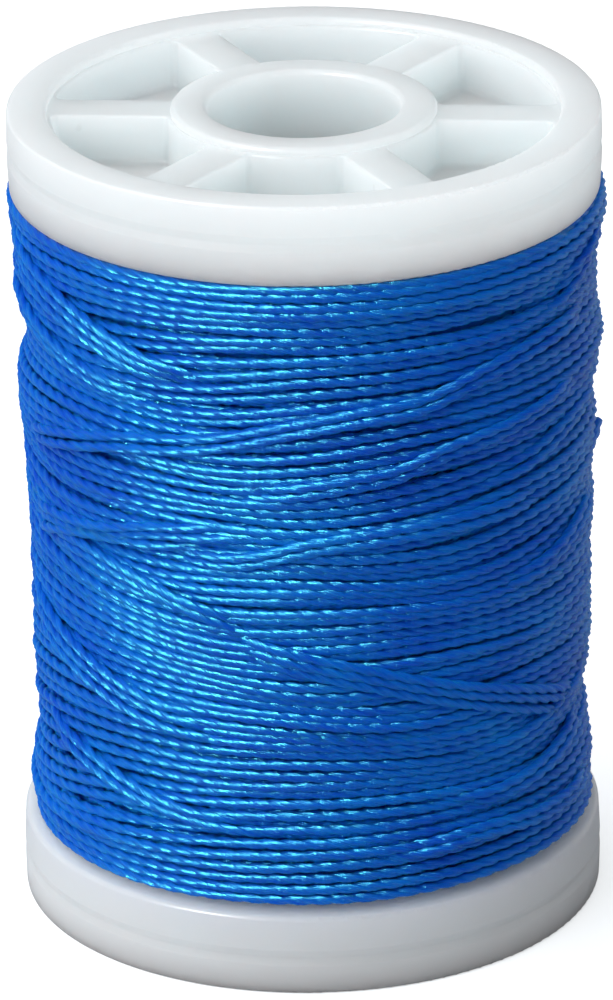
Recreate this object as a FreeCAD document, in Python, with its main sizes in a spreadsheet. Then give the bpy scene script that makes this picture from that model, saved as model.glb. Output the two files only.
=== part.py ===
import FreeCAD, Part
import math
import os
import Sketcher

# A small line spool: a barrel tube closed by two identical six-spoke flanges,
# full of wound twisted line.  Millimetres.  +Z is the spool's axis, and the
# origin is the centre of the lower flange's resting face.

doc = FreeCAD.newDocument("line_spool")

# ------------------------------------------------------------------ sizes
# alias, value or formula, what it is
SIZES = [
    ("OverallHeight", 56.6, "outer face to outer face"),
    ("FlangeRadius", 20.0, "largest radius, beside the rim's groove"),
    ("FlangeThick", 5.6, "flange thickness at the rim"),
    ("GrooveDrop", 2.1, "rim groove's near edge below the outer face"),
    ("GrooveWidth", 1.1, "width of the shallow groove round the rim"),
    ("GrooveDepth", 0.22, "depth of that groove"),
    ("GrooveEdge", 0.3, "radius that softens the groove's edges"),
    ("InnerDraft", 0.12, "rim radius lost from the groove to the inner face"),
    ("OuterDraft", 0.06, "rim radius lost from the groove to the outer face"),
    ("BoreRadius", 6.5, "spindle bore"),
    ("HubRadius", 9.15, "inner radius of the pockets"),
    ("BossRadius", 8.95, "outer radius of the raised hub"),
    ("RimInner", 17.25, "inner radius of the raised rim"),
    ("PocketOuter", 16.95, "outer radius of the pockets"),
    ("SpokeCount", 6, "spokes, and so pockets, in a flange"),
    ("SpokeWidth", 3.2, "width of one spoke"),
    ("SpokeSink", 0.5, "spokes stand this far below the rim and the hub"),
    ("WebThick", 1.7, "web left under a pocket"),
    ("PocketCorner", 0.5, "upright corner radius of a pocket"),
    ("PocketFloor", 0.4, "radius along a pocket's floor"),
    ("PocketEdge", 0.18, "radius round the mouth of a pocket"),
    ("RimEdge", 0.22, "radius of the rim's outer top edge"),
    ("InnerEdge", 0.35, "radius of the rim's inner top edge and of the hub's"),
    ("LipEdge", 0.35, "radius of the rim's edge beside the line"),
    ("PinRadius", 0.8, "ejector pin mark on each pocket's floor"),
    ("PinPlace", 10.8, "radius at which the pin marks sit"),
    ("PinDepth", 0.12, "depth of a pin mark"),
    ("BoreEdge", 0.4, "radius of the bore's mouth"),
    ("BarrelInner", 8.0, "barrel tube bore"),
    ("BarrelOuter", 9.4, "barrel tube outside"),
    ("BarrelLead", 0.3, "chamfer at each mouth of the barrel tube"),
    ("SpigotGap", 0.02, "clearance between the spigot and the barrel tube"),
    ("SpigotLength", 8.0, "spigot length beyond the flange's inner face"),
    ("SpigotLead", 0.5, "lead-in chamfer on the spigot's nose"),
    ("PatternTurn", -4.2, "turn of the top flange about the axis, degrees"),
    ("TapeGap", 0.005, "clearance between the tape and the barrel tube"),
    ("TapeThick", 0.08, "starting tape thickness"),
    ("TapeWidth", 12.0, "starting tape length along the barrel"),
    ("TapeSpan", 110.0, "starting tape angle round the barrel, degrees"),
    ("TapeBase", 9.0, "height of the tape's lower edge above the resting face"),
    ("LineInner", 9.5, "inner radius of the wound line, over the tape"),
    ("LineGap", 0.04, "gap between the wound line and each flange"),
    # Worked out.  Flange heights are measured from the spigot's nose.
    ("SpigotRadius", "=BarrelInner - SpigotGap", "spigot inside the barrel tube"),
    ("OuterFace", "=SpigotLength + FlangeThick", "height of the outer face"),
    ("PocketTop", "=OuterFace - SpokeSink", "height of the spokes' tops"),
    ("PocketBase", "=SpigotLength + WebThick", "height of the pockets' floors"),
    ("PocketDepth", "=PocketTop - PocketBase", "depth of a pocket"),
    ("GrooveTop", "=OuterFace - GrooveDrop", "height of the groove's near edge"),
    ("GrooveMiddle", "=GrooveTop - GrooveWidth / 2", "height of its deepest line"),
    ("GrooveBottom", "=GrooveTop - GrooveWidth", "height of its far edge"),
    ("GrooveRadius", "=FlangeRadius - GrooveDepth", "radius of its deepest line"),
    ("LipRadius", "=FlangeRadius - InnerDraft", "rim radius at the inner face"),
    ("CrownRadius", "=FlangeRadius - OuterDraft", "rim radius at the outer face"),
    ("SpokeHalf", "=SpokeWidth / 2", "half the width of a spoke"),
    ("BarrelLength", "=OverallHeight - 2 * FlangeThick", "inner face to inner face"),
    ("TopFlangeBase", "=OverallHeight - OuterFace", "top spigot's nose in the spool"),
    ("TapeInner", "=BarrelOuter + TapeGap", "inner radius of the tape"),
    ("TapeOuter", "=TapeInner + TapeThick", "outer radius of the tape"),
    ("LineLength", "=BarrelLength - 2 * LineGap", "length of the wound line"),
    ("LineTop", "=LineGap + LineLength", "line's upper end above the inner face"),
]

# Stations up the wound line: share of its length, outer radius.  It bulges
# just above the lower flange, narrows, then grows unevenly to the upper one.
LINE = [
    (0.000, 18.70), (0.035, 19.10), (0.088, 19.40), (0.145, 19.00),
    (0.200, 18.85), (0.280, 19.15), (0.410, 19.20), (0.540, 19.35),
    (0.650, 19.50), (0.725, 19.80), (0.780, 19.50), (0.855, 19.75),
    (0.920, 19.78), (0.970, 19.98), (1.000, 19.75),
]

sheet = doc.addObject("Spreadsheet::Sheet", "Sizes")
for row, (alias, value, note) in enumerate(SIZES, start=1):
    sheet.set("A%d" % row, alias)
    sheet.set("B%d" % row, str(value))
    sheet.set("C%d" % row, note)
    sheet.setAlias("B%d" % row, alias)

for i, (share, radius) in enumerate(LINE):
    row = len(SIZES) + 2 + i
    sheet.set("A%d" % row, "Line station %02d: share, radius, height" % i)
    for column, alias, value in (
            ("B", "LineShare_%02d", str(share)),
            ("C", "LineRadius_%02d", str(radius)),
            ("D", "LineHeight_%02d", "=LineGap + LineShare_%02d * LineLength" % i)):
        sheet.set("%s%d" % (column, row), value)
        sheet.setAlias("%s%d" % (column, row), alias % i)
doc.recompute()


# ---------------------------------------------------------------- helpers
TOLERANCE = 1e-3  # for finding edges by radius and height
ORIGIN = FreeCAD.Vector(0, 0, 0)
UP = FreeCAD.Vector(0, 0, 1)


def size(alias):
    """The sheet's value; None stands for zero."""
    return 0.0 if alias is None else float(getattr(sheet, alias))


def link(item, prop, alias):
    item.setExpression(prop, "Sizes." + alias)


def new_sketch(body, name, role, height=None):
    """A sketch on an origin plane, raised by the height alias if given."""
    sketch = body.newObject("Sketcher::SketchObject", name)
    plane = next(f for f in body.Origin.OriginFeatures if f.Role == role)
    sketch.AttachmentSupport = [(plane, "")]
    sketch.MapMode = "FlatFace"
    if height:
        link(sketch, "AttachmentOffset.Base.z", height)
    return sketch


def bind(sketch, kind, where, alias):
    """A dimension on the given geometry that follows the sheet."""
    index = sketch.addConstraint(Sketcher.Constraint(kind, *where, size(alias)))
    link(sketch, "Constraints[%d]" % index, alias)


def profile_sketch(body, name, points):
    """A closed polygon in the XZ plane, with corners given as (radius alias,
    height alias); a height of None lies on the X axis."""
    sketch = new_sketch(body, name, "XZ_Plane")
    corners = [FreeCAD.Vector(size(radius), size(height), 0)
               for radius, height in points]
    following = corners[1:] + corners[:1]
    for start, end in zip(corners, following):
        sketch.addGeometry(Part.LineSegment(start, end))
    count = len(points)
    for i in range(count):
        sketch.addConstraint(
            Sketcher.Constraint("Coincident", i, 2, (i + 1) % count, 1))
    for i, (radius, height) in enumerate(points):
        bind(sketch, "DistanceX", (-1, 1, i, 1), radius)
        if height is None:
            sketch.addConstraint(Sketcher.Constraint("PointOnObject", i, 1, -1))
        else:
            bind(sketch, "DistanceY", (-1, 1, i, 1), height)
    return sketch


def revolve(body, name, sketch):
    feature = body.newObject("PartDesign::Revolution", name)
    feature.Profile = sketch
    feature.ReferenceAxis = (sketch, ["V_Axis"])
    feature.Angle = 360.0
    sketch.Visibility = False
    return feature


def extrude(body, kind, name, sketch, length):
    """A Pad or Pocket of the sketch, as long as the length alias says."""
    feature = body.newObject("PartDesign::" + kind, name)
    feature.Profile = sketch
    link(feature, "Length", length)
    sketch.Visibility = False
    doc.recompute()
    return feature


def repeat_round(body, name, feature, profile):
    """The feature once for every pocket, about the profile's upright axis."""
    pattern = body.newObject("PartDesign::PolarPattern", name)
    pattern.Originals = [feature]
    pattern.Axis = (profile, ["V_Axis"])
    pattern.Angle = 360.0
    pattern.Occurrences = int(size("SpokeCount"))
    body.Tip = pattern
    doc.recompute()
    return pattern


def dress(body, kind, name, base, selectors, alias):
    """A Fillet or Chamfer on the base's edges that the selectors pick."""
    names = ["Edge%d" % i for wanted in selectors
             for i, edge in enumerate(base.Shape.Edges, start=1) if wanted(edge)]
    if not names:
        raise RuntimeError("no edges for " + name)
    feature = body.newObject("PartDesign::" + kind, name)
    feature.Base = (base, names)
    link(feature, {"Fillet": "Radius", "Chamfer": "Size"}[kind], alias)
    doc.recompute()
    return feature


# --------------------------------------------------------- edge selectors
def ring_at(radius_alias, height_alias):
    """Full or part circles about the axis, of that radius and height."""
    radius, height = size(radius_alias), size(height_alias)

    def wanted(edge):
        curve = edge.Curve
        if curve.TypeId != "Part::GeomCircle":
            return False
        centre = curve.Center
        return (math.hypot(centre.x, centre.y) < TOLERANCE
                and abs(centre.z - height) < TOLERANCE
                and abs(curve.Radius - radius) < TOLERANCE)
    return wanted


def pocket_outline(height_alias, inside, outside):
    """Level edges round the pockets at that height; the edge's middle may lie
    inside the hub radius or outside the pockets by the given margins."""
    height = size(height_alias)
    inner, outer = size("HubRadius") - inside, size("PocketOuter") + outside

    def wanted(edge):
        box = edge.BoundBox
        middle = edge.valueAt((edge.FirstParameter + edge.LastParameter) / 2)
        return (abs(box.ZMin - height) < TOLERANCE
                and abs(box.ZMax - height) < TOLERANCE
                and inner < math.hypot(middle.x, middle.y) < outer)
    return wanted


def pocket_corner(edge):
    """Upright edges of the pockets at the hub and at the rim."""
    if len(edge.Vertexes) != 2:
        return False
    start, end = (vertex.Point for vertex in edge.Vertexes)
    return (abs(start.x - end.x) < 1e-4 and abs(start.y - end.y) < 1e-4
            and min(start.z, end.z) > size("PocketBase") - 0.01
            and abs(start.z - end.z) > 1.0
            and size("HubRadius") - 0.3 < math.hypot(start.x, start.y)
            < size("PocketOuter") + 0.3)


# ------------------------------------------------------------ barrel tube
def make_barrel():
    """A plain tube between the flanges' inner faces; the line is wound on it."""
    body = doc.addObject("PartDesign::Body", "BarrelTube")
    body.Label = "barrel_tube"
    rings = new_sketch(body, "BarrelRings", "XY_Plane")
    for alias in ("BarrelOuter", "BarrelInner"):
        ring = rings.addGeometry(Part.Circle(ORIGIN, UP, size(alias)))
        rings.addConstraint(Sketcher.Constraint("Coincident", ring, 3, -1, 1))
        bind(rings, "Radius", (ring,), alias)
    pad = extrude(body, "Pad", "BarrelPad", rings, "BarrelLength")
    dress(body, "Chamfer", "BarrelMouths", pad,
          [ring_at("BarrelInner", None), ring_at("BarrelInner", "BarrelLength")],
          "BarrelLead")
    link(body, "Placement.Base.z", "FlangeThick")
    return body


# ---------------------------------------------------------------- flanges
FLANGE_PROFILE = [
    ("BoreRadius", None),
    ("SpigotRadius", None),
    ("SpigotRadius", "SpigotLength"),
    ("LipRadius", "SpigotLength"),
    ("FlangeRadius", "GrooveBottom"),
    ("GrooveRadius", "GrooveMiddle"),
    ("FlangeRadius", "GrooveTop"),
    ("CrownRadius", "OuterFace"),
    ("RimInner", "OuterFace"),
    ("RimInner", "PocketTop"),
    ("BossRadius", "PocketTop"),
    ("BossRadius", "OuterFace"),
    ("BoreRadius", "OuterFace"),
]

# In working order: name, kind, edges, size alias.
FLANGE_EDGES = [
    ("PocketCorners", "Fillet", [pocket_corner], "PocketCorner"),
    ("PocketFloors", "Fillet", [pocket_outline("PocketBase", 0.5, 0.5)],
     "PocketFloor"),
    ("RimEdge", "Fillet", [ring_at("CrownRadius", "OuterFace")], "RimEdge"),
    ("InnerEdges", "Fillet",
     [ring_at("RimInner", "OuterFace"), ring_at("BossRadius", "OuterFace")],
     "InnerEdge"),
    ("LipEdge", "Fillet", [ring_at("LipRadius", "SpigotLength")], "LipEdge"),
    ("BoreMouth", "Fillet", [ring_at("BoreRadius", "OuterFace")], "BoreEdge"),
    # Margins small enough to leave out the feet of the hub and of the rim.
    ("PocketMouths", "Fillet", [pocket_outline("PocketTop", 0.1, 0.05)],
     "PocketEdge"),
    ("GrooveEdges", "Fillet",
     [ring_at("FlangeRadius", "GrooveTop"), ring_at("GrooveRadius", "GrooveMiddle"),
      ring_at("FlangeRadius", "GrooveBottom")], "GrooveEdge"),
    ("SpigotNose", "Chamfer", [ring_at("SpigotRadius", None)], "SpigotLead"),
]


def pocket_plan(body, name):
    """One pocket between two spokes, its middle on the +Y side."""
    half, hub, rim = size("SpokeHalf"), size("HubRadius"), size("PocketOuter")
    half_pitch = 180 / size("SpokeCount")
    right_spoke, left_spoke = 90 - half_pitch, 90 + half_pitch

    def on_spoke(degrees, side, radius):
        """Where a spoke's side meets a radius; side +1 is anticlockwise."""
        angle = math.radians(degrees)
        along, across = math.sqrt(radius * radius - half * half), side * half
        return FreeCAD.Vector(
            along * math.cos(angle) - across * math.sin(angle),
            along * math.sin(angle) + across * math.cos(angle), 0)

    def arc(radius, start, end):
        return Part.ArcOfCircle(Part.Circle(ORIGIN, UP, radius),
                                math.atan2(start.y, start.x),
                                math.atan2(end.y, end.x))

    right_in, right_out = (on_spoke(right_spoke, 1, r) for r in (hub, rim))
    left_in, left_out = (on_spoke(left_spoke, -1, r) for r in (hub, rim))

    sketch = new_sketch(body, name, "XY_Plane", "PocketTop")
    hub_arc = sketch.addGeometry(arc(hub, right_in, left_in))
    left = sketch.addGeometry(Part.LineSegment(left_in, left_out))
    rim_arc = sketch.addGeometry(arc(rim, right_out, left_out))
    right = sketch.addGeometry(Part.LineSegment(right_out, right_in))
    for joint in ((hub_arc, 3, -1, 1), (rim_arc, 3, -1, 1),
                  (hub_arc, 2, left, 1), (left, 2, rim_arc, 2),
                  (rim_arc, 1, right, 1), (right, 2, hub_arc, 1)):
        sketch.addConstraint(Sketcher.Constraint("Coincident", *joint))
    bind(sketch, "Radius", (hub_arc,), "HubRadius")
    bind(sketch, "Radius", (rim_arc,), "PocketOuter")
    bind(sketch, "Distance", (-1, 1, left), "SpokeHalf")
    bind(sketch, "Distance", (-1, 1, right), "SpokeHalf")
    # The left side runs outwards and the right side inwards.
    for side, degrees in ((left, left_spoke), (right, right_spoke - 180)):
        sketch.addConstraint(
            Sketcher.Constraint("Angle", side, math.radians(degrees)))
    return sketch


def pin_plan(body, name):
    """The round mark on the floor of the pocket on the +Y side."""
    sketch = new_sketch(body, name, "XY_Plane", "PocketBase")
    pin = sketch.addGeometry(Part.Circle(
        FreeCAD.Vector(0, size("PinPlace"), 0), UP, size("PinRadius")))
    sketch.addConstraint(Sketcher.Constraint("PointOnObject", pin, 3, -2))
    bind(sketch, "DistanceY", (-1, 1, pin, 3), "PinPlace")
    bind(sketch, "Radius", (pin,), "PinRadius")
    return sketch


def make_flange(name, label):
    """One flange moulding, spigot downwards: nose of the spigot at z = 0,
    inner face at SpigotLength, outer face FlangeThick above that."""
    body = doc.addObject("PartDesign::Body", name)
    body.Label = label
    count = size("SpokeCount")
    profile = profile_sketch(body, name + "Profile", FLANGE_PROFILE)
    turned = revolve(body, name + "Turned", profile)
    doc.recompute()
    blank = turned.Shape.Volume

    pocket = extrude(body, "Pocket", name + "Pocket",
                     pocket_plan(body, name + "PocketPlan"), "PocketDepth")
    one_pocket = blank - pocket.Shape.Volume
    if one_pocket < 50.0:
        raise RuntimeError("the pocket in %s cuts nothing" % label)
    feature = repeat_round(body, name + "Pockets", pocket, profile)
    if blank - feature.Shape.Volume < (count - 0.5) * one_pocket:
        raise RuntimeError("the pocket pattern in %s is incomplete" % label)

    for suffix, kind, selectors, alias in FLANGE_EDGES:
        feature = dress(body, kind, name + suffix, feature, selectors, alias)

    # Ejector pin marks: a shallow round print on each pocket's floor.
    before = feature.Shape.Volume
    pin = extrude(body, "Pocket", name + "Pin",
                  pin_plan(body, name + "PinPlan"), "PinDepth")
    pins = repeat_round(body, name + "Pins", pin, profile)
    mark = math.pi * size("PinRadius") ** 2 * size("PinDepth")
    if not (count - 0.1) * mark < before - pins.Shape.Volume < (count + 0.1) * mark:
        raise RuntimeError("the pin marks in %s are incomplete" % label)
    return body


def make_top_flange():
    body = make_flange("TopFlange", "top_flange")
    link(body, "Placement.Base.z", "TopFlangeBase")
    body.setExpression("Placement.Rotation.Angle", "Sizes.PatternTurn * 1 deg")
    return body


def make_bottom_flange():
    """The same moulding turned over about the X axis, outer face at z = 0."""
    body = make_flange("BottomFlange", "bottom_flange")
    body.Placement = FreeCAD.Placement(
        ORIGIN, FreeCAD.Rotation(FreeCAD.Vector(1, 0, 0), 180))
    link(body, "Placement.Base.z", "OuterFace")
    return body


# ---------------------------------------------------------- starting tape
def make_tape():
    """A short piece of tape that holds the line's inner end on the barrel
    tube, its middle on the -Y side."""
    tape = doc.addObject("Part::Feature", "StartTape")
    tape.Label = "start_tape"
    width, span = size("TapeWidth"), size("TapeSpan")
    sector = Part.makeCylinder(size("TapeOuter"), width, ORIGIN, UP, span)
    core = Part.makeCylinder(size("TapeInner"), width, ORIGIN, UP)
    tape.Shape = sector.cut(core)
    tape.Placement = FreeCAD.Placement(
        FreeCAD.Vector(0, 0, size("TapeBase")),
        FreeCAD.Rotation(UP, -90.0 - span / 2))
    return tape


# -------------------------------------------------------------- wound line
def make_line():
    """The whole winding as one ring: straight on the barrel side, its outside
    following the stations."""
    body = doc.addObject("PartDesign::Body", "WoundLine")
    body.Label = "wound_line"
    stations = [("LineRadius_%02d" % i, "LineHeight_%02d" % i)
                for i in range(len(LINE))]
    profile = profile_sketch(
        body, "LineProfile",
        [("LineInner", "LineGap")] + stations + [("LineInner", "LineTop")])
    revolve(body, "LineTurned", profile)
    link(body, "Placement.Base.z", "FlangeThick")
    return body


pieces = [make_barrel(), make_top_flange(), make_bottom_flange(), make_tape(),
          make_line()]
doc.recompute()

# ------------------------------------------------------------ check, write
for item in doc.Objects:
    if "Invalid" in item.State or "Error" in item.State:
        raise RuntimeError("%s is %s" % (item.Name, item.State))
for piece in pieces:
    shape = piece.Shape
    if shape.isNull() or not shape.isValid():
        raise RuntimeError(piece.Label + " has no valid shape")
    if len(shape.Solids) != 1:
        raise RuntimeError("%s has %d solids" % (piece.Label, len(shape.Solids)))

os.makedirs("parts", exist_ok=True)
for piece in pieces:
    piece.Shape.exportStep(os.path.join("parts", piece.Label + ".step"))
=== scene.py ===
"""Fishing line spool: two milky flanges on a barrel, wound with blue twisted line.

The spool stands on the floor with its axis on +Z and the camera at -Y, so left is -X and
right is +X. Angles around the axis run from +X, with the camera's side at 270 degrees.
The winding is worked in millimetres; materials, lights and camera are in metres.
"""

import math

import bpy
import numpy as np
from mathutils import Matrix, Vector


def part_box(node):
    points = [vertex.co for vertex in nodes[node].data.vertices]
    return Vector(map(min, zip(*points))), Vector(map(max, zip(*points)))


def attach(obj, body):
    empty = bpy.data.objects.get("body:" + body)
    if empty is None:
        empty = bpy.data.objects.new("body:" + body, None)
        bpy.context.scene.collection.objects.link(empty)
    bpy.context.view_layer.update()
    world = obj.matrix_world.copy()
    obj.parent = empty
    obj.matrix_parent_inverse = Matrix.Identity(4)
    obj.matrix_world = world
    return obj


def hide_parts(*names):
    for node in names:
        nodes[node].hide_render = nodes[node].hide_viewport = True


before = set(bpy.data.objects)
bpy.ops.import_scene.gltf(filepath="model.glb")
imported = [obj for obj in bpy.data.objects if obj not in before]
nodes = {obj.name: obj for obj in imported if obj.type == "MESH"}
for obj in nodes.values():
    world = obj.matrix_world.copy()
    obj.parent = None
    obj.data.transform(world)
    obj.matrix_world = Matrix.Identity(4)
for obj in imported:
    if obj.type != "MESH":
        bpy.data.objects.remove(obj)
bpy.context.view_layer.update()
MM = 0.001
TAU = 2 * math.pi
SEED = 20

# ---------------------------------------------------------------- places taken from the parts in model.glb, mm
top_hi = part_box("top_flange")[1]
line_lo, line_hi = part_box("wound_line")
RIM = top_hi.x / MM  # radius of the top flange
HEIGHT = top_hi.z / MM
LINE_Z0 = line_lo.z / MM
LINE_Z1 = line_hi.z / MM
TUBE_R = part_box("barrel_tube")[1].x / MM


# ---------------------------------------------------------------- helpers
class Net:
    """A node tree, written as calls. Any input takes a value or a socket."""

    def __init__(self, tree):
        self.tree = tree
        tree.nodes.clear()

    def add(self, kind, inputs=None, **props):
        node = self.tree.nodes.new(kind)
        for key, value in props.items():
            setattr(node, key, value)
        for key, value in (inputs or {}).items():
            if isinstance(value, bpy.types.NodeSocket):
                self.tree.links.new(value, node.inputs[key])
            else:
                node.inputs[key].default_value = value
        return node

    def math(self, operation, first, second=None, clamp=False):
        inputs = {0: first} if second is None else {0: first, 1: second}
        return self.add("ShaderNodeMath", inputs, operation=operation, use_clamp=clamp).outputs[0]

    def remap(self, value, span=(0.3, 0.7), to=(0.0, 1.0), smooth=False):
        """Maps a span onto another. The default span is where most noise values fall."""
        inputs = {
            "Value": value,
            "From Min": span[0],
            "From Max": span[1],
            "To Min": to[0],
            "To Max": to[1],
        }
        kind = "SMOOTHSTEP" if smooth else "LINEAR"
        return self.add("ShaderNodeMapRange", inputs, interpolation_type=kind).outputs["Result"]

    def noise(self, vector, scale, detail=2.0, rough=0.5, dims="3D"):
        inputs = {"Vector": vector, "Scale": scale, "Detail": detail, "Roughness": rough}
        return self.add("ShaderNodeTexNoise", inputs, noise_dimensions=dims).outputs["Fac"]

    def scaled(self, vector, scale):
        return self.add("ShaderNodeMapping", {"Vector": vector, "Scale": scale}).outputs["Vector"]

    def mix(self, amount, first, second):
        inputs = {0: amount, 6: first, 7: second}
        return self.add("ShaderNodeMix", inputs, data_type="RGBA").outputs[2]

    def bump(self, height, strength, distance, over=None):
        inputs = {"Strength": strength, "Distance": distance, "Height": height}
        if over is not None:
            inputs["Normal"] = over
        return self.add("ShaderNodeBump", inputs).outputs["Normal"]

    def shader(self, kind, inputs):
        return self.add(kind, inputs).outputs[0]

    def coords(self, kind="Object"):
        return self.add("ShaderNodeTexCoord").outputs[kind]

    def principled(self, inputs):
        surface = self.shader("ShaderNodeBsdfPrincipled", inputs)
        self.add("ShaderNodeOutputMaterial", {"Surface": surface})


def new_material(name):
    mat = bpy.data.materials.new(name)
    mat.use_nodes = True
    return mat, Net(mat.node_tree)


def new_object(name, data):
    obj = bpy.data.objects.new(name, data)
    bpy.context.scene.collection.objects.link(obj)
    return obj


# ---------------------------------------------------------------- materials
PLASTIC = (0.852, 0.918, 0.924)
PLASTIC_DULL = (0.834, 0.906, 0.913)
PLASTIC_FLOW = (0.818, 0.897, 0.904)
SPECK = (0.62, 0.64, 0.62, 1)


def milky_plastic(name, offset, painted_reflection_tint=(1.0, 1.0, 1.0)):
    """White, glowing, satin plastic with flow marks, specks and duller rim edges; the tint argument
    paints a reflected colour over it.
    """
    mat, net = new_material(name)
    coords = net.coords()
    place = net.add("ShaderNodeVectorMath", {0: coords, 1: (offset, offset * 0.37, 0.0)}).outputs[0]
    x, y, z = net.add("ShaderNodeSeparateXYZ", {"Vector": coords}).outputs
    squares = net.math("ADD", net.math("MULTIPLY", x, x), net.math("MULTIPLY", y, y))
    radius = net.math("SQRT", squares)
    cloud = net.noise(place, scale=70.0, detail=1.0)
    flow = net.noise(net.scaled(place, (1.0, 1.0, 3.0)), scale=120.0, detail=1.0)
    grain = net.noise(place, scale=900.0, detail=1.0)

    # handling dulls the rim where it meets the spool's top and bottom faces
    on_rim = net.remap(radius, span=((RIM - 0.9) * MM, (RIM - 0.05) * MM), smooth=True)
    face_up = net.remap(z, span=((HEIGHT - 0.6) * MM, (HEIGHT - 0.1) * MM), smooth=True)
    face_down = net.remap(z, span=(0.6 * MM, 0.1 * MM), smooth=True)
    touched = net.math("MULTIPLY", on_rim, net.math("MAXIMUM", face_up, face_down))
    patches = net.remap(net.noise(place, scale=180.0, detail=0.0), span=(0.25, 0.80), smooth=True)
    rub = net.math("MULTIPLY", touched, patches)

    # the tint multiplies every colour: a painted reflection, the blue cast that the blue line throws
    # on the bottom flange
    clear, dull, drawn = [
        tuple(c * t for c, t in zip(colour, painted_reflection_tint)) + (1.0,)
        for colour in (PLASTIC, PLASTIC_DULL, PLASTIC_FLOW)
    ]
    tint = net.mix(net.remap(cloud, smooth=True), dull, clear)
    flow_marks = net.remap(flow, span=(0.35, 0.75), to=(0.0, 0.25), smooth=True)
    tint = net.mix(flow_marks, tint, drawn)
    dots = net.noise(place, scale=560.0, detail=0.0)
    specks = net.remap(dots, span=(0.83, 0.87), to=(0.0, 0.20), smooth=True)
    tint = net.mix(specks, tint, SPECK)
    rough = net.remap(grain, to=(0.29, 0.33), smooth=True)
    rough = net.math("ADD", rough, net.math("MULTIPLY", rub, 0.06), clamp=True)
    waves = net.bump(net.noise(place, scale=60.0, detail=0.0), strength=0.30, distance=0.00020)
    normal = net.bump(grain, strength=0.05, distance=0.00002, over=waves)
    net.principled(
        {
            "Base Color": tint,
            "Roughness": rough,
            "IOR": 1.5,
            "Normal": normal,
            "Subsurface Weight": 1.0,
            "Subsurface Radius": (0.0080, 0.0092, 0.0094),
            "Subsurface Scale": 1.0,
        }
    )
    return mat


def twisted_line(name, shade):
    """Shiny twisted filament cord: blue, streaked along the filaments, with a cyan gloss."""
    mat, net = new_material(name)
    along = net.add("ShaderNodeUVMap", uv_map="line_uv").outputs["UV"]
    coords = net.coords()
    streaked = net.scaled(along, (2.2, 40.0, 1.0))
    strands = net.noise(streaked, scale=1.0, rough=0.6, dims="2D")
    slubs = net.noise(net.scaled(along, (0.7, 1.0, 1.0)), scale=1.0, dims="2D")
    cloud = net.noise(coords, scale=130.0)
    # shade scales both cord colours; above 1 it is painted light, a brighter copy of the cord that
    # lightens the gaps between the wraps
    deep = (0.0006 * shade, 0.058 * shade, 0.62 * shade, 1)
    azure = (0.0012 * shade, 0.205 * shade, 0.78 * shade, 1)
    patches = net.remap(cloud, to=(0.15, 0.70))
    amount = net.math("ADD", patches, net.remap(slubs, to=(-0.12, 0.18)))
    amount = net.math("ADD", amount, net.remap(strands, to=(-0.30, 0.30)), clamp=True)
    rough = net.remap(strands, to=(0.225, 0.255), smooth=True)
    rough = net.math("ADD", rough, net.remap(cloud, to=(0.0, 0.015), smooth=True))
    net.principled(
        {
            "Base Color": net.mix(amount, deep, azure),
            "Roughness": rough,
            "Metallic": 0.0,
            "IOR": 1.5,
            "Specular IOR Level": 0.55,
            "Specular Tint": (0.36, 1.0, 1.0, 1),
            "Normal": net.bump(strands, strength=0.8, distance=0.00006),
            "Subsurface Weight": 0.45,
            "Subsurface Radius": (0.00005, 0.0002, 0.0006),
            "Subsurface Scale": 1.0,
            "Sheen Weight": 0.42,
            "Sheen Roughness": 0.4,
            "Sheen Tint": (0.03, 0.60, 0.75, 1),
        }
    )
    return mat


def clear_film(name):
    """Thin adhesive film, a little yellow, with bubbles and a gloss."""
    mat, net = new_material(name)
    coords = net.coords()
    bubbles = net.remap(net.noise(coords, scale=700.0), span=(0.55, 0.62), smooth=True)
    net.principled(
        {
            "Base Color": net.mix(bubbles, (0.80, 0.79, 0.70, 1), (0.90, 0.90, 0.86, 1)),
            "Roughness": net.remap(net.noise(coords, scale=1600.0, rough=0.6), to=(0.12, 0.3)),
            "Normal": net.bump(bubbles, strength=0.3, distance=0.00003),
            "IOR": 1.48,
            "Subsurface Weight": 0.3,
            "Subsurface Radius": (0.001, 0.001, 0.001),
            "Subsurface Scale": 1.0,
        }
    )
    return mat


MILK_TOP = milky_plastic("milky_plastic_top", offset=0.0)
# the bottom flange's bluer tone is a painted reflection of the blue line wound on it, not a colour
# of the plastic
MILK_BOTTOM_PAINTED_REFLECTION = milky_plastic("milky_plastic_bottom_painted_reflection", offset=0.31, painted_reflection_tint=(0.965, 1.0, 1.02))
MILK_TUBE = milky_plastic("milky_plastic_tube", offset=0.57)
LINE = twisted_line("blue_line_cord", shade=1.0)
# the layer below and the core use this copy painted 18% brighter: painted light standing in for
# light scattered into the gaps between the wraps
LINE_UNDER_PAINTED_LIGHT = twisted_line("blue_line_under_painted_light", shade=1.18)
FILM = clear_film("clear_tape_film")


# ---------------------------------------------------------------- CAD pieces that stay
WELD = 2e-6  # m
SHARP = math.radians(32)  # edges sharper than this stay sharp


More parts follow.
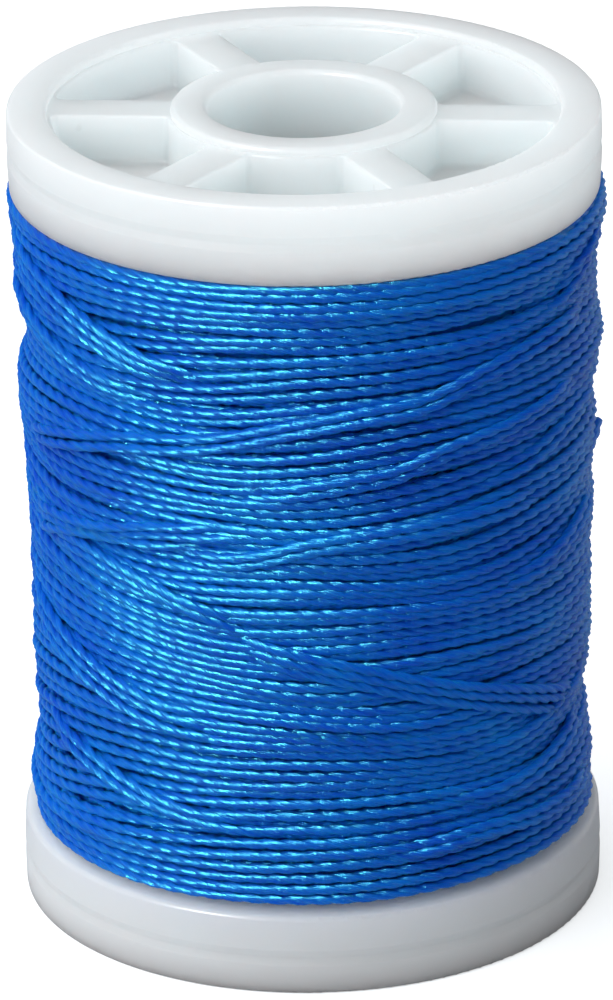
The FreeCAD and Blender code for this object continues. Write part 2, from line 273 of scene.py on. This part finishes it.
def smooth_group():
    """Welds the split vertices of a CAD mesh and shades it smooth, except at sharp edges."""
    group = bpy.data.node_groups.new("weld_and_smooth", "GeometryNodeTree")
    for direction in ("INPUT", "OUTPUT"):
        group.interface.new_socket(
            "Geometry", in_out=direction, socket_type="NodeSocketGeometry"
        )
    net = Net(group)
    shape = net.add("NodeGroupInput").outputs[0]
    shape = net.shader("GeometryNodeRemoveAttribute", {0: shape, "Name": "custom_normal"})
    shape = net.shader("GeometryNodeMergeByDistance", {"Geometry": shape, "Distance": WELD})
    angle = net.add("GeometryNodeInputMeshEdgeAngle").outputs["Unsigned Angle"]
    blunt = net.add(
        "FunctionNodeCompare", {0: angle, 1: SHARP}, data_type="FLOAT", operation="LESS_THAN"
    ).outputs[0]
    for domain, smooth in (("FACE", True), ("EDGE", blunt)):
        inputs = {"Geometry": shape, "Shade Smooth": smooth}
        shape = net.add("GeometryNodeSetShadeSmooth", inputs, domain=domain).outputs[0]
    net.add("NodeGroupOutput", {0: shape})
    return group


def dress_cad_pieces():
    group = smooth_group()
    for name, mat in (
        ("top_flange", MILK_TOP),
        ("bottom_flange", MILK_BOTTOM_PAINTED_REFLECTION),
        ("barrel_tube", MILK_TUBE),
        ("start_tape", FILM),
    ):
        piece = nodes[name]
        piece.data.materials.clear()
        piece.data.materials.append(mat)
        piece.modifiers.new("smooth", "NODES").node_group = group
        normals = piece.modifiers.new("weighted", "WEIGHTED_NORMAL")
        normals.keep_sharp = True
        normals.weight = 60


dress_cad_pieces()

# ---------------------------------------------------------------- shape of the winding, mm
CORD_R = 0.37  # half the cord's thickness
BEDDING = 0.06  # how far the cord sits inside the winding's outline
LAY = 4.5  # length of one full turn of the three strands
STEP = 0.45  # spacing of the rings along a cord
UV_LENGTH = 10  # length of cord per unit of line_uv

# heights, and the winding's radius at its left and right sides at each height
STATION_Z = np.array([
    4.6, 6.6, 7.6, 8.6, 9.6, 10.6, 11.6, 12.6, 13.6, 14.6, 15.6,
    16.6, 17.6, 18.6, 21.6, 24.6, 25.6, 26.6, 27.6, 28.6, 29.6, 30.6,
    31.6, 32.6, 33.6, 34.6, 35.6, 36.6, 37.6, 38.6, 39.6, 40.6, 41.6,
    42.6, 43.6, 44.6, 45.6, 46.6, 47.6, 48.6, 49.6, 50.6, 52.0,
])
LEFT_R = np.array([
    19.1, 19.45, 19.45, 19.6, 19.6, 19.35, 19.15, 19.2, 19.15, 19.2, 19.25,
    19.25, 19.28, 19.3, 19.3, 19.3, 19.3, 19.3, 19.33, 19.36, 19.4, 19.42,
    19.45, 19.5, 19.6, 19.7, 19.75, 19.87, 19.87, 19.8, 19.4, 19.05, 19.12,
    19.45, 19.67, 19.8, 19.89, 19.91, 19.92, 20.0, 20.13, 20.2, 20.2,
])
RIGHT_R = np.array([
    19.2, 19.75, 19.65, 19.65, 19.8, 19.66, 19.5, 19.55, 19.2, 19.1, 19.27,
    19.45, 19.54, 19.58, 19.6, 19.6, 19.55, 19.65, 19.8, 19.8, 19.6, 19.62,
    19.75, 19.85, 19.8, 19.75, 19.6, 19.57, 19.74, 20.05, 20.2, 20.25, 20.2,
    19.98, 20.03, 20.03, 19.93, 19.85, 19.93, 20.3, 20.45, 20.34, 20.3,
])
TAPER = 0.017  # share of the radius lost from the spool's top to its bottom

# waves that carry wraps up and down: size, waves per turn, wave height, phase
WANDER = ((0.95, 1, 38.0, 0.4), (0.55, 2, 29.0, 2.1), (0.34, 3, 21.0, 4.0), (0.16, 5, 13.0, 1.3))

# wraps that cross over the others:
# angles, heights, how many side by side, their spacing at the start and the end
CROSS = [
    ((186, 199, 217, 230, 251, 268, 280, 292, 306, 323, 340, 352),
     (34.8, 35.7, 37.2, 38.4, 39.6, 40.9, 41.6, 42.0, 43.3, 44.2, 44.3, 44.1), 2, (0.72, 0.62)),
    ((250, 268, 277, 288, 295, 312, 330, 346),
     (35.9, 36.46, 36.9, 37.4, 38.2, 39.03, 39.96, 40.4), 2, (0.62, 0.66)),
    ((236, 246, 257, 269, 288, 311, 335),
     (31.0, 31.11, 31.3, 32.33, 32.96, 33.1, 32.9), 2, (0.6, 0.66)),
    ((186, 200, 226, 237, 250, 266), (29.2, 30.12, 31.53, 32.54, 33.07, 33.3), 2, (0.6, 0.66)),
    ((184, 200, 223, 244, 258), (27.6, 28.84, 30.85, 31.77, 32.1), 1, (0.6, 0.6)),
    ((196, 219, 229, 246, 262), (28.6, 29.3, 28.8, 27.3, 25.6), 2, (0.62, 0.7)),
    ((250, 264, 272, 281, 290, 316, 331, 347),
     (25.2, 24.2, 23.56, 22.74, 21.73, 18.7, 16.9, 15.2), 3, (0.62, 0.72)),
    ((298, 312, 319, 331, 343, 356), (15.2, 15.36, 15.5, 16.17, 16.75, 17.2), 2, (0.64, 0.8)),
    ((282, 290, 304, 322, 343, 358), (9.7, 9.6, 10.0, 9.5, 9.2, 9.4), 2, (0.62, 0.7)),
    ((178, 195, 218, 237, 256), (49.4, 48.06, 46.15, 44.3, 43.0), 3, (1.05, 0.6)),
    ((176, 196, 222, 246), (45.9, 44.3, 42.3, 41.4), 2, (0.95, 0.62)),
    ((182, 206, 232, 258), (23.6, 21.6, 19.4, 18.3), 3, (0.9, 0.62)),
    ((190, 214, 240, 268), (15.6, 13.9, 12.2, 11.3), 2, (0.85, 0.64)),
    ((316, 330, 344, 362), (46.0, 46.9, 48.4, 49.9), 3, (0.62, 0.85)),
    ((300, 318, 338, 360), (35.2, 35.9, 37.2, 37.4), 2, (0.64, 0.8)),
    ((306, 324, 344, 364), (27.2, 27.9, 29.2, 29.8), 2, (0.62, 0.8)),
    ((294, 316, 338, 360), (12.2, 12.4, 13.4, 14.6), 2, (0.62, 0.7)),
    ((20, 46, 78, 110, 136), (46.8, 45.0, 43.6, 41.2, 40.4), 3, (0.7, 0.62)),
    ((8, 40, 76, 112), (36.0, 38.2, 39.1, 41.6), 2, (0.66, 0.8)),
    ((60, 92, 124, 160), (33.0, 34.7, 36.9, 37.8), 2, (0.62, 0.9)),
    ((12, 44, 70, 98), (30.6, 29.0, 27.9, 26.0), 3, (0.64, 0.7)),
    ((84, 118, 150, 178), (28.2, 26.7, 24.0, 23.2), 2, (0.64, 0.85)),
    ((24, 58, 92, 128), (18.2, 20.3, 21.6, 23.8), 2, (0.62, 0.66)),
    ((96, 122, 150, 176), (18.0, 16.6, 14.9, 14.4), 2, (0.62, 0.8)),
    ((14, 50, 86, 122), (13.2, 11.9, 11.4, 9.6), 3, (0.62, 0.7)),
    ((62, 96, 132, 166), (47.9, 48.8, 47.6, 49.0), 2, (0.66, 0.7)),
]
RAMP = 20.0  # degrees over which a crossing wrap comes out from under the others


def smooth_noise(count, step, knot, seed):
    """Smooth noise of unit size along count points step apart, with knots knot apart."""
    knots = int(count * step / knot) + 5
    value = np.random.default_rng(SEED * 1000 + seed).standard_normal(knots)
    at = np.arange(count) * step / knot + 1.0
    i = at.astype(int)
    f = at - i
    a, b, c, d = value[i - 1], value[i], value[i + 1], value[np.minimum(i + 2, knots - 1)]
    square = (2 * a - 5 * b + 4 * c - d) * f * f
    return 0.5 * (2 * b + (c - a) * f + square + (3 * b - a - 3 * c + d) * f**3)


def jitter(count, *layers, step=STEP):
    """Sum of smooth noises, each given as its size, knot spacing and seed."""
    return sum(size * smooth_noise(count, step, knot, seed) for size, knot, seed in layers)


def ease(t):
    return t * t * (3 - 2 * t)


def off_flanges(z, reach):
    """0 at either end of the winding, 1 from a reach away."""
    return np.clip((z - LINE_Z0) / reach, 0, 1) * np.clip((LINE_Z1 - z) / reach, 0, 1)


def outside(z, phi):
    """Radius of the winding's outside at a height and an angle."""
    taper = 1 - TAPER * (1 - z / HEIGHT)
    left, right = np.interp(z, STATION_Z, LEFT_R), np.interp(z, STATION_Z, RIGHT_R)
    radius = taper * ((left + right) / 2 + (right - left) / 2 * np.cos(phi))
    # a slight oval that turns with height, and a narrower foot
    radius = radius + 0.10 * np.sin(2 * phi + z / 4.1) * np.sin(z / 6.3 + 1.0)
    foot = np.clip((z - LINE_Z0) / 3.0, 0, 1)
    return radius - 0.12 * (1 - foot) ** 2


def cord_radius(z, phi):
    """Radius of the centre of a cord lying in the outer layer."""
    return outside(z, phi) - CORD_R - BEDDING


def wander(z, phi):
    """How far wraps stray up or down from a level course. It dies away at both flanges."""
    stray = sum(
        size * np.sin(turns * phi + TAU * z / wave + phase) for size, turns, wave, phase in WANDER
    )
    return stray * ease(off_flanges(z, reach=7.0))


def spline(xs, ys, x):
    """A smooth curve through points, by cubic Hermite pieces."""
    xs, ys = np.asarray(xs, float), np.asarray(ys, float)
    slope = np.gradient(ys, xs)
    i = np.clip(np.searchsorted(xs, x, side="right") - 1, 0, len(xs) - 2)
    h = xs[i + 1] - xs[i]
    t = (x - xs[i]) / h
    start = ys[i] * (1 + 2 * t) * (1 - t) ** 2 + slope[i] * h * t * (1 - t) ** 2
    return start + ys[i + 1] * t * t * (3 - 2 * t) + slope[i + 1] * h * t * t * (t - 1)


def lift(degrees, start, end):
    """0 where a crossing wrap is still buried, 1 where it lies on top."""
    return ease(np.clip(np.minimum(degrees - start, end - degrees) / RAMP, 0, 1))


# ---------------------------------------------------------------- cord meshes
def section(points, offset, strand):
    """The cord's outline: three strands at an offset from its centre, points each."""
    outline = []
    spread = np.radians(np.linspace(-92, 92, points))
    for k in range(3):
        a = k * TAU / 3
        x, y = offset * math.cos(a), offset * math.sin(a)
        outline += [(x + strand * math.cos(a + b), y + strand * math.sin(a + b)) for b in spread]
    return np.array(outline)


CORD = section(points=6, offset=0.168, strand=0.202)
COARSE = section(points=3, offset=0.16, strand=0.20)


def polar(phi, radius, z):
    return np.column_stack([radius * np.cos(phi), radius * np.sin(phi), z])


def arc_steps(start, end, radius):
    """How many steps an arc between two angles in degrees takes."""
    return int((end - start) / 360 * TAU * radius / STEP)


def running_length(path):
    return np.concatenate([[0.0], np.cumsum(np.linalg.norm(np.diff(path, axis=0), axis=1))])


def tube(path, phase, outline=CORD, lay=LAY, scale=None):
    """Rings of vertices along a path, the outline turning with the lay. Also the running length."""
    run = running_length(path)
    ahead = np.gradient(path, axis=0)
    ahead /= np.linalg.norm(ahead, axis=1)[:, None]
    out = np.column_stack([path[:, 0], path[:, 1], np.zeros(len(path))])
    out -= (out * ahead).sum(1)[:, None] * ahead
    out /= np.linalg.norm(out, axis=1)[:, None]
    side = np.cross(ahead, out)
    angle = TAU / lay * run + phase
    cos, sin = np.cos(angle)[:, None], np.sin(angle)[:, None]
    x = outline[None, :, 0] * cos - outline[None, :, 1] * sin
    y = outline[None, :, 0] * sin + outline[None, :, 1] * cos
    if scale is not None:
        x, y = x * scale[:, None], y * scale[:, None]
    rings = path[:, None, :] + x[:, :, None] * out[:, None, :] + y[:, :, None] * side[:, None, :]
    return rings, run


def quad_uv(u0, u1, v0, v1):
    return np.stack([u0, v0, u0, v1, u1, v1, u1, v0], -1).reshape(-1, 2)


def add_uv(mesh, name, data):
    layer = mesh.uv_layers.new(name=name)
    layer.uv.foreach_set("vector", data.astype(np.float32).ravel())


def line_object(name, mesh, mat):
    mesh.update()
    mesh.materials.append(mat)
    obj = new_object(name, mesh)
    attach(obj, "root")
    return obj


def cord_object(name, tubes, rows, mat=LINE):
    """One mesh from several tubes, closed at their ends.

    line_uv runs along the cord; OFBake packs the whole length into rows.
    """
    verts, faces, line_uv, pack_uv, soft = [], [], [], [], []
    per_row = sum(run[-1] for _, run in tubes) / rows * 1.0001
    base, before = 0, 0.0
    for rings, run in tubes:
        n, m = rings.shape[:2]
        verts.append(rings.reshape(-1, 3))
        i = np.arange(n - 1)[:, None] * m
        j = np.arange(m)[None, :]
        following = (j + 1) % m
        corners = [i + j, i + following, i + m + following, i + m + j]
        quads = np.stack(corners, -1).reshape(-1, 4) + base
        faces.append(quads)
        soft.append(np.ones(len(quads), bool))
        u0, u1 = np.repeat(run[:-1], m), np.repeat(run[1:], m)
        v0 = np.tile(np.arange(m) / m, n - 1)
        v1 = v0 + 1 / m
        line_uv.append(quad_uv(u0 / UV_LENGTH, u1 / UV_LENGTH, v0, v1))
        # each row keeps a margin above and below it
        row = np.floor((before + u0) / per_row)
        a0 = (before + u0 - row * per_row) / per_row
        a1 = np.minimum((before + u1 - row * per_row) / per_row, 1.0)
        b0, b1 = [(row + 0.05 + 0.9 * v) / rows for v in (v0, v1)]
        pack_uv.append(quad_uv(a0, a1, b0, b1))
        # strips of quads close both ends
        k = np.arange(m // 2 - 1)
        for ring, flip in ((0, True), (n - 1, False)):
            cap = np.stack([k, k + 1, m - 2 - k, m - 1 - k], -1) + ring * m + base
            faces.append(cap[:, ::-1] if flip else cap)
            soft.append(np.zeros(len(cap), bool))
            at = (before + run[ring]) / per_row
            cap_row = min(math.floor(at), rows - 1)
            packed = [min(at - cap_row, 0.999), (cap_row + 0.5) / rows]
            line_uv.append(np.tile([[run[ring] / UV_LENGTH, 0.5]], (len(cap) * 4, 1)))
            pack_uv.append(np.tile([packed], (len(cap) * 4, 1)))
        base += n * m
        before += run[-1]
    mesh = bpy.data.meshes.new(name)
    mesh.from_pydata(np.concatenate(verts) * MM, np.zeros((0, 2), np.int32), np.concatenate(faces))
    mesh.polygons.foreach_set("use_smooth", np.concatenate(soft))
    add_uv(mesh, "line_uv", np.concatenate(line_uv))
    add_uv(mesh, "OFBake", np.concatenate(pack_uv))
    mesh.uv_layers.active = mesh.uv_layers["line_uv"]
    return line_object(name, mesh, mat)


# ---------------------------------------------------------------- the wraps that show
WRAPS = 62
WRAP_STEPS = int(TAU * 19.3 / STEP)
WRAP_PARTS = 4
TIGHT_GAP = 0.735  # wraps closer than this ride over or under each other


def dip_under_crossings(radius, z, degrees):
    """Presses the wraps in where others cross over them."""
    for angles, heights, beside, _ in CROSS:
        start, end = angles[0], angles[-1]
        reach = 0.5 + 0.33 * beside
        for shift in (0, 360):
            turned = degrees + shift
            inside = (turned > start) & (turned < end)
            if not inside.any():
                continue
            off = z[inside] - spline(angles, heights, turned[inside])
            radius[inside] -= 0.16 * lift(turned[inside], start, end) * np.exp(-((off / reach) ** 2))


def wraps_path():
    """One long run from the bottom flange to the top one."""
    count = WRAPS * WRAP_STEPS + 1
    turn = np.arange(count) / WRAP_STEPS
    phi = TAU * turn + math.radians(90)
    first, last = LINE_Z0 + CORD_R, LINE_Z1 - CORD_R
    level = first + (last - first) * turn / WRAPS
    z = level + wander(level, phi)
    z = z + jitter(count, (0.10, 17.0, 1), (0.05, 6.0, 2)) * off_flanges(level, reach=2.5)
    gap = np.empty(count)
    gap[:-WRAP_STEPS] = z[WRAP_STEPS:] - z[:-WRAP_STEPS]
    gap[-WRAP_STEPS:] = gap[-WRAP_STEPS - 1]
    tight = np.clip((TIGHT_GAP - gap) / 0.16, 0, 1.4)
    over = np.cos(math.pi * turn + jitter(count, (1.5, 90.0, 3)))  # every other wrap rides over
    radius = cord_radius(z, phi) + 0.11 * tight * over
    radius = radius + jitter(count, (0.06, 21.0, 4), (0.03, 7.0, 5))
    dip_under_crossings(radius, z, np.degrees(phi) % 360)
    return polar(phi, radius, z)


def build_wraps():
    path = wraps_path()
    phase = TAU / LAY * running_length(path)
    total = WRAPS * WRAP_STEPS
    cuts = [total * k // WRAP_PARTS // WRAP_STEPS * WRAP_STEPS for k in range(WRAP_PARTS)]
    cuts.append(total)
    return [
        cord_object(f"line_wraps_{k + 1}", [tube(path[a : b + 1], phase[a])], rows=28)
        for k, (a, b) in enumerate(zip(cuts, cuts[1:]))
    ]


# ---------------------------------------------------------------- the layer under them
UNDER_WRAPS = 58
UNDER_STEP = 0.9
UNDER_STEPS = int(TAU * 18.7 / UNDER_STEP)  # per wrap
UNDER_MARGIN = 0.42  # between the flanges and the first and last wraps
UNDER_DEPTH = 0.50  # below the wraps that show


def layer_below():
    """A coarser layer, wound the other way."""
    count = UNDER_WRAPS * UNDER_STEPS + 1
    turn = np.arange(count) / UNDER_STEPS
    phi = -TAU * turn + 1.0
    rise = (LINE_Z1 - LINE_Z0 - 2 * UNDER_MARGIN) * turn / UNDER_WRAPS
    z = LINE_Z0 + UNDER_MARGIN + rise + jitter(count, (0.10, 15.0, 8), step=UNDER_STEP)
    radius = cord_radius(z, phi) - UNDER_DEPTH + jitter(count, (0.05, 19.0, 9), step=UNDER_STEP)
    wound = tube(polar(phi, radius, z), phase=0.0, outline=COARSE)
    # its cord colour is painted brighter: painted light in the gaps between the wraps above it
    return cord_object("line_layer_below", [wound], rows=46, mat=LINE_UNDER_PAINTED_LIGHT)


# ---------------------------------------------------------------- the wraps that cross on top
RAISED = 0.36  # how far a crossing wrap stands over the others
BURIED = 0.72  # how far its ends lie under them


def crossing(angles, heights, beside, spread, seed):
    """Tubes that run side by side, each with its ends a little off the others'."""
    start, end = angles[0], angles[-1]
    ends = spline(angles, heights, np.array([start, start + 1, end - 1, end]))
    slope_in, slope_out = ends[1] - ends[0], ends[3] - ends[2]
    tubes = []
    for k in range(beside):
        rng = np.random.default_rng(SEED * 77 + seed * 10 + k)
        own_start = start + rng.uniform(-4, 4)
        own_end = end + rng.uniform(-4, 4)
        count = arc_steps(own_start, own_end, radius=19.6) + 1
        degrees = np.linspace(own_start, own_end, count)
        z = spline(angles, heights, np.clip(degrees, start, end))
        # straight on past the table's ends
        z = z + np.where(degrees < start, (degrees - start) * slope_in, 0)
        z = z + np.where(degrees > end, (degrees - end) * slope_out, 0)
        along = (degrees - start) / (end - start)
        spacing = spread[0] * (1 - along) + spread[1] * along
        z = z + (k - (beside - 1) / 2) * spacing + jitter(count, (0.05, 9.0, seed * 31 + k))
        z = np.clip(z, LINE_Z0 + CORD_R, LINE_Z1 - CORD_R + 0.2)
        phi = np.radians(degrees)
        up = lift(degrees, own_start, own_end)
        radius = cord_radius(z, phi) + (RAISED + rng.uniform(-0.05, 0.08)) * up - BURIED * (1 - up)
        radius = radius + jitter(count, (0.03, 8.0, seed * 57 + k))
        tubes.append(tube(polar(phi, radius, z), phase=rng.uniform(0, TAU)))
    return tubes


def corner_wraps():
    """The wraps that fill the corner under the top flange's rounded edge."""
    tubes = []
    for k, (start, end) in enumerate(((100, 345), (200, 470))):
        count = arc_steps(start, end, radius=20)
        degrees = np.linspace(start, end, count)
        buried = 1 - lift(degrees, start, end)
        z = LINE_Z1 - 0.33 - 0.35 * buried + jitter(count, (0.02, 12.0, 400 + k))
        radius = RIM - 0.33 - 0.22 * k - 0.8 * buried + jitter(count, (0.05, 14.0, 410 + k))
        tubes.append(tube(polar(np.radians(degrees), radius, z), phase=1.0 + k))
    return tubes


def build_crossings():
    groups = {"front": [], "back": []}
    for seed, cross in enumerate(CROSS, start=1):
        side = "front" if cross[0][0] >= 170 else "back"
        groups[side] += crossing(*cross, seed)
    groups["front"] += corner_wraps()
    return [cord_object(f"line_crossings_{side}", t, rows=34) for side, t in groups.items()]


def loose_end():
    """The loose end, which comes out from under the wraps at the right and thins a little."""
    count = 30
    phi = np.radians(np.linspace(330, 364, count))
    along = np.linspace(0, 1, count)
    z = 31.9 + 0.9 * along
    radius = cord_radius(z, phi) - 0.6 + 1.25 * along**1.6
    scale = np.linspace(1.0, 0.82, count)
    end = tube(polar(phi, radius, z), phase=0.4, lay=LAY * 1.3, scale=scale)
    return cord_object("line_end", [end], rows=3)


# ---------------------------------------------------------------- the mass of line inside
CORE_RINGS, CORE_COLS = 60, 128
CORE_DEPTH = 1.25  # below the winding's outside
CORE_GAP = 0.1  # to the winding's ends
CORE_PITCH = 0.75  # height of one ripple
RIPPLE = 0.12
TUBE_GAP = 0.12


def winding_core():
    """A rippled sleeve between the barrel and the layers that show."""
    heights = np.linspace(LINE_Z0 + CORE_GAP, LINE_Z1 - CORE_GAP, CORE_RINGS)
    z, phi = np.meshgrid(heights, np.arange(CORE_COLS) * TAU / CORE_COLS, indexing="ij")
    outer = outside(z, phi) - CORE_DEPTH + RIPPLE * np.sin(z * TAU / CORE_PITCH)
    inner = np.full_like(outer, TUBE_R + TUBE_GAP)
    verts = np.concatenate([polar(phi.ravel(), r.ravel(), z.ravel()) for r in (outer, inner)]) * MM
    n = CORE_RINGS * CORE_COLS  # the inner wall's vertices follow the outer wall's
    faces = []
    for i in range(CORE_RINGS - 1):
        for j in range(CORE_COLS):
            following = (j + 1) % CORE_COLS
            low, high = i * CORE_COLS, (i + 1) * CORE_COLS
            a, b, c, d = low + j, low + following, high + following, high + j
            faces.append((a, b, c, d))
            faces.append((n + d, n + c, n + b, n + a))
    top = n - CORE_COLS
    for j in range(CORE_COLS):
        following = (j + 1) % CORE_COLS
        faces.append((n + j, n + following, following, j))
        faces.append((top + j, top + following, n + top + following, n + top + j))
    mesh = bpy.data.meshes.new("line_core")
    mesh.from_pydata(verts, [], faces)
    mesh.polygons.foreach_set("use_smooth", np.ones(len(faces), bool))
    loops = np.zeros(len(mesh.loops), np.int32)
    mesh.loops.foreach_get("vertex_index", loops)
    at = verts[loops] / MM
    around = np.arctan2(at[:, 1], at[:, 0]) * 1.9  # about 19 mm of radius per UV_LENGTH
    add_uv(mesh, "line_uv", np.column_stack([around, at[:, 2] / CORE_PITCH]))
    # the same brighter cord colour: painted light where the core shows between the wraps
    return line_object("line_core", mesh, LINE_UNDER_PAINTED_LIGHT)


line_pieces = build_wraps()
line_pieces.append(layer_below())
line_pieces += build_crossings()
line_pieces.append(loose_end())
line_pieces.append(winding_core())
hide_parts("wound_line")


# ---------------------------------------------------------------- stage
def build_floor():
    """A pale floor that looks brighter to the camera than to the light it reflects."""
    mesh = bpy.data.meshes.new("floor")
    mesh.from_pydata([(-3, -3, 0), (3, -3, 0), (3, 3, 0), (-3, 3, 0)], [], [(0, 1, 2, 3)])
    floor = new_object("floor", mesh)
    floor.location.z = -0.00002
    mat, net = new_material("pale_floor")
    cloud = net.noise(net.coords(), scale=30.0)
    shade = net.mix(cloud, (0.90, 0.90, 0.90, 1), (0.92, 0.92, 0.92, 1))
    pale = net.shader("ShaderNodeBsdfDiffuse", {"Color": shade})
    grey = net.shader("ShaderNodeBsdfDiffuse", {"Color": (0.50, 0.50, 0.51, 1)})
    shine = net.shader("ShaderNodeEmission", {"Color": (1, 1, 1, 1), "Strength": 0.50})
    seen = net.shader("ShaderNodeAddShader", {0: pale, 1: shine})
    to_camera = net.add("ShaderNodeLightPath").outputs["Is Camera Ray"]
    surface = net.shader("ShaderNodeMixShader", {0: to_camera, 1: grey, 2: seen})
    net.add("ShaderNodeOutputMaterial", {"Surface": surface})
    mesh.materials.append(mat)


def build_world():
    """Cool light, stronger from the left and dim in reflections; plain white to the camera."""
    world = bpy.data.worlds.new("studio")
    bpy.context.scene.world = world
    world.use_nodes = True
    net = Net(world.node_tree)
    x = net.add("ShaderNodeSeparateXYZ", {0: net.coords("Generated")}).outputs[0]
    strength = net.remap(x, span=(-1.0, 0.28), to=(1.90, 0.27))
    path = net.add("ShaderNodeLightPath").outputs
    dim = net.remap(path["Is Glossy Ray"], span=(0.0, 1.0), to=(1.0, 0.06))
    strength = net.math("MULTIPLY", strength, dim)
    cool = {"Color": (0.94, 0.985, 1.02, 1), "Strength": strength}
    lit = net.shader("ShaderNodeBackground", cool)
    plain = net.shader("ShaderNodeBackground", {"Color": (1, 1, 1, 1), "Strength": 1.1})
    seen = net.shader("ShaderNodeMixShader", {0: path["Is Camera Ray"], 1: lit, 2: plain})
    net.add("ShaderNodeOutputWorld", {0: seen})


build_floor()
build_world()


# ---------------------------------------------------------------- lights
def area(name, azimuth, elevation, distance, size, watts,
         colour=(1, 1, 1), aim_z=0.03, glossy=True, diffuse=True, only=None):
    """A soft box at an azimuth and elevation in degrees, aimed at a height on the axis.

    It can be hidden from glossy or diffuse rays, and kept to some of the objects.
    """
    azimuth, elevation = math.radians(azimuth), math.radians(elevation)
    flat = math.cos(elevation)
    away = Vector((math.cos(azimuth) * flat, math.sin(azimuth) * flat, math.sin(elevation)))
    aim = Vector((0, 0, aim_z))
    data = bpy.data.lights.new(name, "AREA")
    data.shape = "RECTANGLE"
    data.size, data.size_y = size
    data.energy = watts
    data.color = colour
    light = new_object(name, data)
    light.location = away * distance + aim
    light.rotation_mode = "QUATERNION"
    light.rotation_quaternion = (away * distance).to_track_quat("Z", "Y")
    light.visible_glossy = glossy
    light.visible_diffuse = diffuse
    if only:
        group = bpy.data.collections.new(name + "_on")
        for obj in only:
            group.objects.link(obj)
        light.light_linking.receiver_collection = group


top_flange, bottom_flange = nodes["top_flange"], nodes["bottom_flange"]
area("key", azimuth=232, elevation=30, distance=0.20, size=(0.10, 0.08), watts=0.026,
     aim_z=0.044, glossy=False)
area("top", azimuth=255, elevation=82, distance=0.55, size=(0.45, 0.40), watts=0.62, glossy=False)
area("rim_right", azimuth=12, elevation=16, distance=0.60, size=(0.10, 0.40), watts=0.38,
     glossy=False, only=[top_flange] + line_pieces)
# low, soft fills that show the glow of the flanges' walls
area("glow", azimuth=300, elevation=5, distance=0.50, size=(0.40, 0.12), watts=0.84,
     aim_z=0.060, glossy=False, only=[top_flange])
area("low_glow", azimuth=256, elevation=10, distance=0.50, size=(0.40, 0.12), watts=0.36,
     aim_z=0.004, glossy=False, only=[bottom_flange])
# a soft fill for the side away from the camera
area("back_fill", azimuth=48, elevation=14, distance=0.60, size=(0.50, 0.30), watts=0.30,
     only=[bottom_flange] + line_pieces)
# the light that the line catches at its left edge
area("rim_left", azimuth=172, elevation=16, distance=0.60, size=(0.12, 0.40), watts=0.12,
     colour=(0.30, 0.95, 1.0), only=line_pieces)
# the gloss on the line, and the short streaks on the flanges' steps
area("gloss", azimuth=235, elevation=40, distance=0.60, size=(0.08, 0.30), watts=25.0,
     colour=(0.33, 0.93, 1.0), diffuse=False, only=line_pieces)
area("streak", azimuth=223, elevation=36, distance=0.60, size=(0.14, 0.04), watts=4.0,
     diffuse=False, only=[top_flange, bottom_flange])

# ---------------------------------------------------------------- camera
CAMERA_DISTANCE = 0.519744  # m, from the centre of the spool's top
CAMERA_LENS = 278.98452  # mm, on a 36 mm sensor
# angles in radians
CAMERA_ELEVATION = 0.346
CAMERA_TILT = 0.3972  # downward
CAMERA_ROLL = -0.0123
CAMERA_PAN = 0.000273564  # to the left


def build_camera():
    data = bpy.data.cameras.new("camera")
    data.sensor_fit = "AUTO"
    data.sensor_width = 36.0
    data.lens = CAMERA_LENS
    data.clip_start, data.clip_end = 0.01, 20.0
    camera = new_object("camera", data)
    ahead = Vector((0.0, math.cos(CAMERA_TILT), -math.sin(CAMERA_TILT)))
    across = Vector((1.0, 0.0, 0.0))
    upward = across.cross(ahead)
    cos, sin = math.cos(CAMERA_ROLL), math.sin(CAMERA_ROLL)
    right = cos * across + sin * upward
    up = -sin * across + cos * upward
    ahead = (ahead - math.tan(CAMERA_PAN) * right).normalized()
    right = ahead.cross(up).normalized()
    up = right.cross(ahead).normalized()
    camera.rotation_mode = "QUATERNION"
    camera.rotation_quaternion = Matrix((right, up, -ahead)).transposed().to_quaternion()
    away = Vector((0.0, -math.cos(CAMERA_ELEVATION), math.sin(CAMERA_ELEVATION)))
    camera.location = away * CAMERA_DISTANCE + Vector((0, 0, HEIGHT * MM))
    scene = bpy.context.scene
    scene.camera = camera
    scene.view_settings.view_transform = "Standard"
    scene.view_settings.look = "None"


build_camera()

# ---------------------------------------------------------------- last update of the view layer
bpy.context.view_layer.update()
